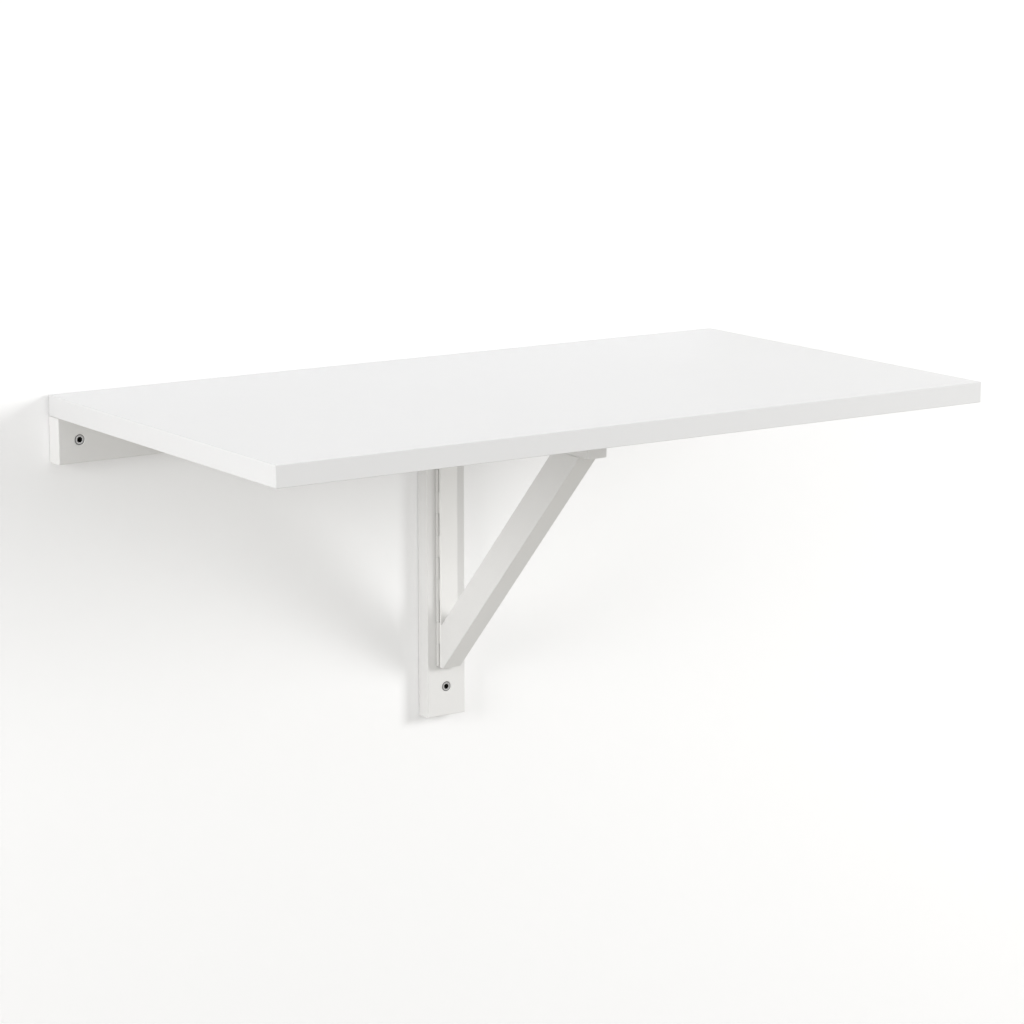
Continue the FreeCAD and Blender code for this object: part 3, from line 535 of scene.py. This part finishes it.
def make_piece(name, parts, body, material, unshaded=None):
    """An object from one or more (points, quads, triangles), riding on a body.

    The last argument holds a value from 0 to 1 for each point, for the screws' steel: 1 for
    bright metal, 0 for painted shade.
    """
    points, faces, start = [], [], 0
    for part_points, quads, triangles in parts:
        points.append(part_points)
        faces += (quads + start).tolist() + (triangles + start).tolist()
        start += len(part_points)
    mesh = bpy.data.meshes.new(name)
    mesh.from_pydata(np.concatenate(points), [], faces)
    mesh.polygons.foreach_set("use_smooth", np.ones(len(faces), bool))
    mesh.set_sharp_from_angle(angle=SMOOTH_ANGLE)
    if unshaded is not None:
        attribute = mesh.attributes.new("unshaded", "FLOAT", "POINT")
        attribute.data.foreach_set("value", unshaded.astype(np.float32))
    mesh.update()
    mesh.validate()
    mesh.materials.append(material)
    piece = bpy.data.objects.new(name, mesh)
    bpy.context.scene.collection.objects.link(piece)
    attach(piece, body)
    return piece


def cross_edge(angle, arm, half_width):
    """Distance from the middle to the edge of a cross of four arms, in each direction.

    Near an arm's own direction the edge is the arm's end, arm / cos; further off it is the
    arm's side, half_width / sin.
    """
    turned = np.abs((angle + TURN / 8) % (TURN / 4) - TURN / 8)
    end = arm / np.cos(turned)
    side = half_width / np.maximum(np.sin(turned), 1e-9)
    return np.minimum(end, side)


def screw_surface(head, shank, thread, length, thread_start):
    """Radius, depth and brightness of a countersunk wood screw, on one grid, where low
    brightness is painted shade.

    The rows run from the recess's floor up its wall, over the flat head, whose rim is rounded
    inside the cone, down that cone at forty-five degrees, along the plain shank and along the
    thread to the point.
    """
    shape = settings().screws
    columns = shape.columns
    angle = np.arange(columns) / columns * TURN
    cross = cross_edge(angle, shape.arm_length * head, shape.arm_width * head)
    floor = shape.recess_depth * head
    rim = np.full(columns, head / 2)
    land = 0.025 * head
    cone_end = (head - shank) / 2
    rows = [
        # the recess: floor, foot and top of the wall, rounded edge, all painted shade in near
        # black
        (cross * 0.35, floor, 0.0),
        (cross * 0.72, floor * 0.86, 0.0),
        (cross * 0.97, 0.05 * head, 0.0),
        (cross + 0.006 * head, land * 0.2, 0.0),
        # the flat head, bright, then painted shade towards its rounded rim for the shadow ring
        # round the head
        (cross + 0.03 * head, 0.0, 1.0),
        (rim - land * 5.0, 0.0, 1.0),
        (rim - land * 3.5, 0.0, 0.4),
        (rim - land * 1.1, land * 0.3, 0.15),
        (rim - land * 1.0, land * 1.0, 0.1),
        # the end of the cone and the plain shank, with some painted shade
        (np.full(columns, shank / 2), cone_end, 0.6),
        (np.full(columns, shank / 2), (cone_end + thread_start) / 2, 0.8),
    ]
    radius = np.array([row[0] for row in rows])
    depth = np.array([np.full(columns, row[1]) for row in rows])
    unshaded = np.array([np.full(columns, row[2]) for row in rows])
    thread_radius, thread_depth = thread_rows(shank, thread, length, thread_start, angle)
    # The thread takes a little painted shade too.
    return (np.concatenate([radius, thread_radius]), np.concatenate([depth, thread_depth]),
            np.concatenate([unshaded, np.full(thread_radius.shape, 0.9)]))


def thread_rows(shank, thread, length, thread_start, angle):
    """Radius and depth of the threaded end.

    The radius is the core plus a triangle wave in depth / pitch less angle / turn, raised to
    the power 1.5 for a narrow crest.  It starts at the plain shank's radius, over one pitch,
    and narrows to the point over one diameter, as the power 0.8 of what is left.
    """
    shape = settings().screws
    pitch = shape.thread_pitch * thread
    groove = shape.thread_depth * thread
    count = int(round((length - thread_start) / pitch * THREAD_TURN_ROWS))
    depth = np.linspace(thread_start, length - 0.02 * thread, count)[:, None]
    wave = np.abs((depth / pitch - angle / TURN) % 1.0 * 2.0 - 1.0) ** 1.5
    fade = np.clip((depth - thread_start) / pitch, 0.0, 1.0)
    taper = np.clip((length - depth) / thread, 0.0, 1.0) ** 0.8
    radius = (shank / 2 * (1.0 - fade) + (thread / 2 - groove * (1.0 - wave)) * fade) * taper
    return np.maximum(radius, 0.01 * thread), np.broadcast_to(depth, radius.shape)


def rod_surface(diameter, length, end, flute_depth):
    """Radius and depth of a round rod whose two ends are rounded by a quarter ellipse.

    end gives the ellipse's two half axes, as DOMED_END says.  Grooves run along the rod,
    where the radius falls by flute_depth * (1 - |cos(flutes * angle / 2)|).
    """
    shape = settings().screws
    angle = np.arange(shape.columns) / shape.columns * TURN
    groove = flute_depth * (1.0 - np.abs(np.cos(shape.flutes * angle / 2)))
    quarter = np.linspace(0.0, TURN / 4, ROD_END_ROWS)[:, None]
    edge, rounding = end
    share = 1.0 - edge + edge * np.sin(quarter)
    into = rounding * diameter * (1.0 - np.cos(quarter))
    radius = diameter / 2 * np.concatenate([share, share[::-1]]) * (1.0 - groove)
    depth = np.concatenate([into, length - into[::-1]])
    return radius, np.broadcast_to(depth, radius.shape)


def place_turned(surface, start, into):
    """Carry a surface's own (across, along, depth) points to its place, depth running into."""
    points, quads, fans = surface
    axis = Vector(into).normalized()
    across = Vector((1, 0, 0)) if abs(axis.z) > 0.5 else Vector((0, 0, 1))
    turn = np.array([across, axis.cross(across), axis])
    return points @ turn + np.array(start), quads, fans


def row_starts(node, count, row, travel):
    """Start points, width and length of a node's equal round pieces that stand in a row.

    The node's box gives their length along travel, the ends of the row along the row's axis,
    and their width along the third axis.
    """
    low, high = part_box(node)
    along = max(range(3), key=lambda axis: abs(travel[axis]))
    third = 3 - row - along
    width = high[third] - low[third]
    start = (low + high) / 2
    start[along] = low[along] if travel[along] > 0 else high[along]
    places = np.linspace(low[row] + width / 2, high[row] - width / 2, count)
    starts = []
    for place in places if count > 1 else (start[row],):
        start[row] = place
        starts.append(tuple(start))
    return starts, width, high[along] - low[along]


def make_screws(node, material):
    """Screws that stand for a frame node."""
    count, row, travel, (shank, thread, threaded) = SCREW_ROWS[node]
    starts, head, length = row_starts(node, count, row, travel)
    radius, depth, unshaded = screw_surface(head, shank, thread, length, length - threaded)
    surface = turned_shape(radius, depth)
    ends = (unshaded[0].mean(), unshaded[-1].mean())
    one_unshaded = np.concatenate([unshaded.reshape(-1), ends])
    parts = [place_turned(surface, start, travel) for start in starts]
    piece = make_piece(f"{node}_turned", parts, BODY_OF[node], material,
                       np.tile(one_unshaded, count))
    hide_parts(node)


def make_rods(node, end, material, flute_depth=0.0):
    """Dowels or pins that stand for a frame node."""
    count, row, travel = RODS[node]
    starts, width, length = row_starts(node, count, row, travel)
    surface = turned_shape(*rod_surface(width, length, end, flute_depth))
    parts = [place_turned(surface, start, travel) for start in starts]
    piece = make_piece(f"{node}_turned", parts, BODY_OF[node], material)
    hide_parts(node)


# ---------------------------------------------------------------- stage


def stage_material(name, share, glow):
    """White wall or floor, seen from its room side only.

    The camera sees a glow added, which is tinted against the share so that it looks neutral.
    """
    material = bpy.data.materials.new(name)
    nodes = Nodes(material)
    rays = nodes.add("LightPath")
    diffuse = nodes.add("BsdfDiffuse", {"Color": (*share, 1.0)})
    added = [glow + sum(share) / 3 - part for part in share]
    emission = nodes.add("Emission", {"Color": (*added, 1.0),
                                      "Strength": rays.outputs["Is Camera Ray"]})
    lit = nodes.add("AddShader", {0: diffuse.outputs[0], 1: emission.outputs[0]})
    clear = nodes.add("BsdfTransparent")
    behind = nodes.add("NewGeometry").outputs["Backfacing"]
    nodes.surface(nodes.add("MixShader", {0: behind, 1: lit.outputs[0], 2: clear.outputs[0]}))
    return material


def wall_faces(half, back, floor, top, inset):
    """Corners and quads of the wall, which is open behind the rail, the leaf and the post.

    Cuts along their edges make a grid of fields, and the fields behind them are left out, so
    that daylight reaches their backs.
    """
    rail_low, rail_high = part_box("wall_rail")
    post_low, post_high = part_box("wall_post")
    rights = np.array([-half, rail_low.x + inset, post_low.x + inset, post_high.x - inset,
                       rail_high.x - inset, half])
    leaf_top = CAD_BOX[1].z
    ups = np.array([floor, post_low.z + inset, rail_low.z + inset, leaf_top - inset, top])
    right, up = np.meshgrid(rights, ups)
    points = np.stack([right, np.full(right.shape, back), up], axis=-1).reshape(-1, 3)
    wide = len(rights)
    row, column = np.meshgrid(np.arange(len(ups) - 1), np.arange(wide - 1), indexing="ij")
    behind_rail = (row == 2) & (column > 0) & (column < 4)
    behind_post = (row == 1) & (column == 2)
    corner = (row * wide + column)[~(behind_rail | behind_post)]
    quads = np.stack([corner, corner + 1, corner + wide + 1, corner + wide], axis=-1)
    return points.tolist(), quads.tolist()


def make_plane(name, corners, faces, material):
    """A flat stage piece."""
    mesh = bpy.data.meshes.new(name)
    mesh.from_pydata(corners, [], faces)
    mesh.materials.append(material)
    plane = bpy.data.objects.new(name, mesh)
    bpy.context.scene.collection.objects.link(plane)


def make_lamp(name, place, target, power, width):
    """A square area lamp that looks at a point; it lights surfaces but no gloss shows it."""
    lamp = bpy.data.lights.new(name, "AREA")
    lamp.energy = power
    lamp.size = width
    holder = bpy.data.objects.new(name, lamp)
    holder.location = place
    holder.visible_glossy = False
    holder.rotation_euler = (Vector(target) - Vector(place)).to_track_quat("-Z", "Y").to_euler()
    bpy.context.scene.collection.objects.link(holder)


def make_world(strength):
    """Even light from all sides; camera, mirror and glass rays see plain white."""
    world = bpy.data.worlds.new("table_world")
    bpy.context.scene.world = world
    nodes = Nodes(world)
    rays = nodes.add("LightPath")
    camera, glossy, clear = (rays.outputs[f"Is {kind} Ray"]
                             for kind in ("Camera", "Glossy", "Transmission"))
    first = nodes.add("Math", {0: camera, 1: glossy}, operation="MAXIMUM")
    direct = nodes.add("Math", {0: first.outputs[0], 1: clear}, operation="MAXIMUM")
    room = nodes.add("Background", {"Color": (1.0, 1.0, 1.0, 1.0), "Strength": strength})
    white = nodes.add("Background", {"Color": (1.0, 1.0, 1.0, 1.0), "Strength": 1.0})
    nodes.surface(nodes.add("MixShader", {0: direct.outputs[0], 1: room.outputs[0],
                                          2: white.outputs[0]}))


def make_camera():
    """The camera: its place, its two angles and its lens."""
    view = settings().view
    lens = bpy.data.cameras.new("table_camera")
    lens.sensor_width = view.sensor
    lens.lens = view.focal_pixels * view.sensor / IMAGE_PIXELS
    lens.clip_start, lens.clip_end = 0.05, 50.0
    camera = bpy.data.objects.new("table_camera", lens)
    camera.location = view.place
    camera.rotation_euler = (math.pi / 2 - view.elevation, 0.0, view.azimuth)
    bpy.context.scene.collection.objects.link(camera)
    bpy.context.scene.camera = camera


# ---------------------------------------------------------------- operators


class TABLE_OT_stage(bpy.types.Operator):
    """Make the wall, the floor, the lamps and the camera"""

    bl_idname = "table.stage"
    bl_label = "Make stage"

    def execute(self, context):
        light = settings().light
        half = light.wall_size / 2
        floor = CAD_BOX[1].z - light.table_height
        wall = stage_material("stage_wall", light.wall_colour, light.wall_glow)
        ground = stage_material("stage_floor", light.floor_colour, light.floor_glow)
        back = light.wall_gap
        make_plane("stage_wall",
                   *wall_faces(half, back, floor, floor + light.wall_size, light.wall_inset),
                   wall)
        make_plane("stage_floor", [(-half, -light.wall_size, floor),
                                   (half, -light.wall_size, floor),
                                   (half, back, floor), (-half, back, floor)],
                   [(0, 1, 2, 3)], ground)
        target = (CAD_BOX[0] + CAD_BOX[1]) / 2
        make_lamp("key_lamp", light.key_place, target, light.key_power, light.lamp_width)
        make_lamp("fill_lamp", light.fill_place, target, light.fill_power, light.lamp_width)
        make_world(light.room_light)
        make_camera()
        context.scene.view_settings.view_transform = "Standard"
        return {"FINISHED"}


class TABLE_OT_laths(bpy.types.Operator):
    """Lacquer the rail, the post, the arm and the brace"""

    bl_idname = "table.laths"
    bl_label = "Finish laths"

    def execute(self, context):
        look = settings().finish
        for node, along in LATH_GRAIN.items():
            cover(node, lacquered_wood(f"lacquer_{node}", look.lath_colour, along))
        return {"FINISHED"}


class TABLE_OT_long_hinge(bpy.types.Operator):
    """Paint the flat bar and the long hinge that carries it, and make the hinge's pin"""

    bl_idname = "table.long_hinge"
    bl_label = "Finish long hinge"

    def execute(self, context):
        look = settings().finish
        cover("bracket_stile", painted_steel("bar_paint", look.bar_colour))
        # The long hinge and its pin take the grey hinge colour, painted shade for the gap beside
        # the bar.
        paint = painted_steel("hinge_paint", look.shaded_hinge_colour)
        for node in LONG_HINGE:
            cover(node, paint)
        make_rods("bracket_hinge_pin", DOMED_END, paint)
        return {"FINISHED"}


class TABLE_OT_leaf(bpy.types.Operator):
    """Lacquer the leaf and its edge bands"""

    bl_idname = "table.leaf"
    bl_label = "Finish leaf"

    def execute(self, context):
        look = settings().finish
        cover("leaf_panel", lacquered_board("board_lacquer", look.board_colour))
        # The bands take the darker band colour: painted shade on the leaf's edges.
        band = lacquered_board("band_lacquer", look.shaded_band_colour)
        for node in LEAF_BANDS:
            cover(node, band)
        return {"FINISHED"}


class TABLE_OT_leaf_hinges(bpy.types.Operator):
    """Give the leaf hinges their zinc plated steel and make their pins"""

    bl_idname = "table.leaf_hinges"
    bl_label = "Finish leaf hinges"

    def execute(self, context):
        steel = zinc_steel("zinc_steel", settings().finish.steel_colour)
        for node in ZINC_SHEETS:
            cover(node, steel)
        for node in ("leaf_hinge_left_pin", "leaf_hinge_right_pin"):
            make_rods(node, DOMED_END, steel)
        return {"FINISHED"}


class TABLE_OT_screws(bpy.types.Operator):
    """Make the screws of the wall, the hinges and the bracket"""

    bl_idname = "table.screws"
    bl_label = "Make screws"

    def execute(self, context):
        steel = screw_steel("zinc_screw")
        for node in SCREW_ROWS:
            make_screws(node, steel)
        return {"FINISHED"}


class TABLE_OT_dowels(bpy.types.Operator):
    """Make the fluted beech dowels"""

    bl_idname = "table.dowels"
    bl_label = "Make dowels"

    def execute(self, context):
        beech = beech_wood("beech", settings().finish.beech_colour)
        flute_depth = settings().screws.flute_depth
        for node in ("rail_post_dowels", "bracket_dowels"):
            make_rods(node, DOWEL_END, beech, flute_depth)
        return {"FINISHED"}


class TABLE_PT_sidebar(bpy.types.Panel):
    """Settings and steps of the table's looks"""

    bl_idname = "TABLE_PT_sidebar"
    bl_label = "Drop leaf table"
    bl_space_type = "VIEW_3D"
    bl_region_type = "UI"
    bl_category = "Table"

    def draw(self, context):
        chosen = context.scene.drop_leaf_table
        for group in (chosen.view, chosen.light, chosen.finish, chosen.screws):
            box = self.layout.box()
            for name in group.bl_rna.properties.keys():
                if name not in ("rna_type", "name"):
                    box.prop(group, name)
        for step in STEPS:
            self.layout.operator(step.bl_idname)


STEPS = (TABLE_OT_stage, TABLE_OT_laths, TABLE_OT_long_hinge, TABLE_OT_leaf,
         TABLE_OT_leaf_hinges, TABLE_OT_screws, TABLE_OT_dowels)
CLASSES = (TableView, TableLight, TableFinish, TableScrews, TableSettings, *STEPS,
           TABLE_PT_sidebar)


def register():
    """Make the classes known and put the settings on the scene."""
    for each in CLASSES:
        bpy.utils.register_class(each)
    bpy.types.Scene.drop_leaf_table = bpy.props.PointerProperty(type=TableSettings)


def unregister():
    """Take the settings and the classes away again."""
    del bpy.types.Scene.drop_leaf_table
    for each in reversed(CLASSES):
        bpy.utils.unregister_class(each)


def main():
    """Run every step."""
    register()
    bpy.ops.table.stage()
    bpy.ops.table.laths()
    bpy.ops.table.long_hinge()
    bpy.ops.table.leaf()
    bpy.ops.table.leaf_hinges()
    bpy.ops.table.screws()
    bpy.ops.table.dowels()


if __name__ == "__main__":
    main()
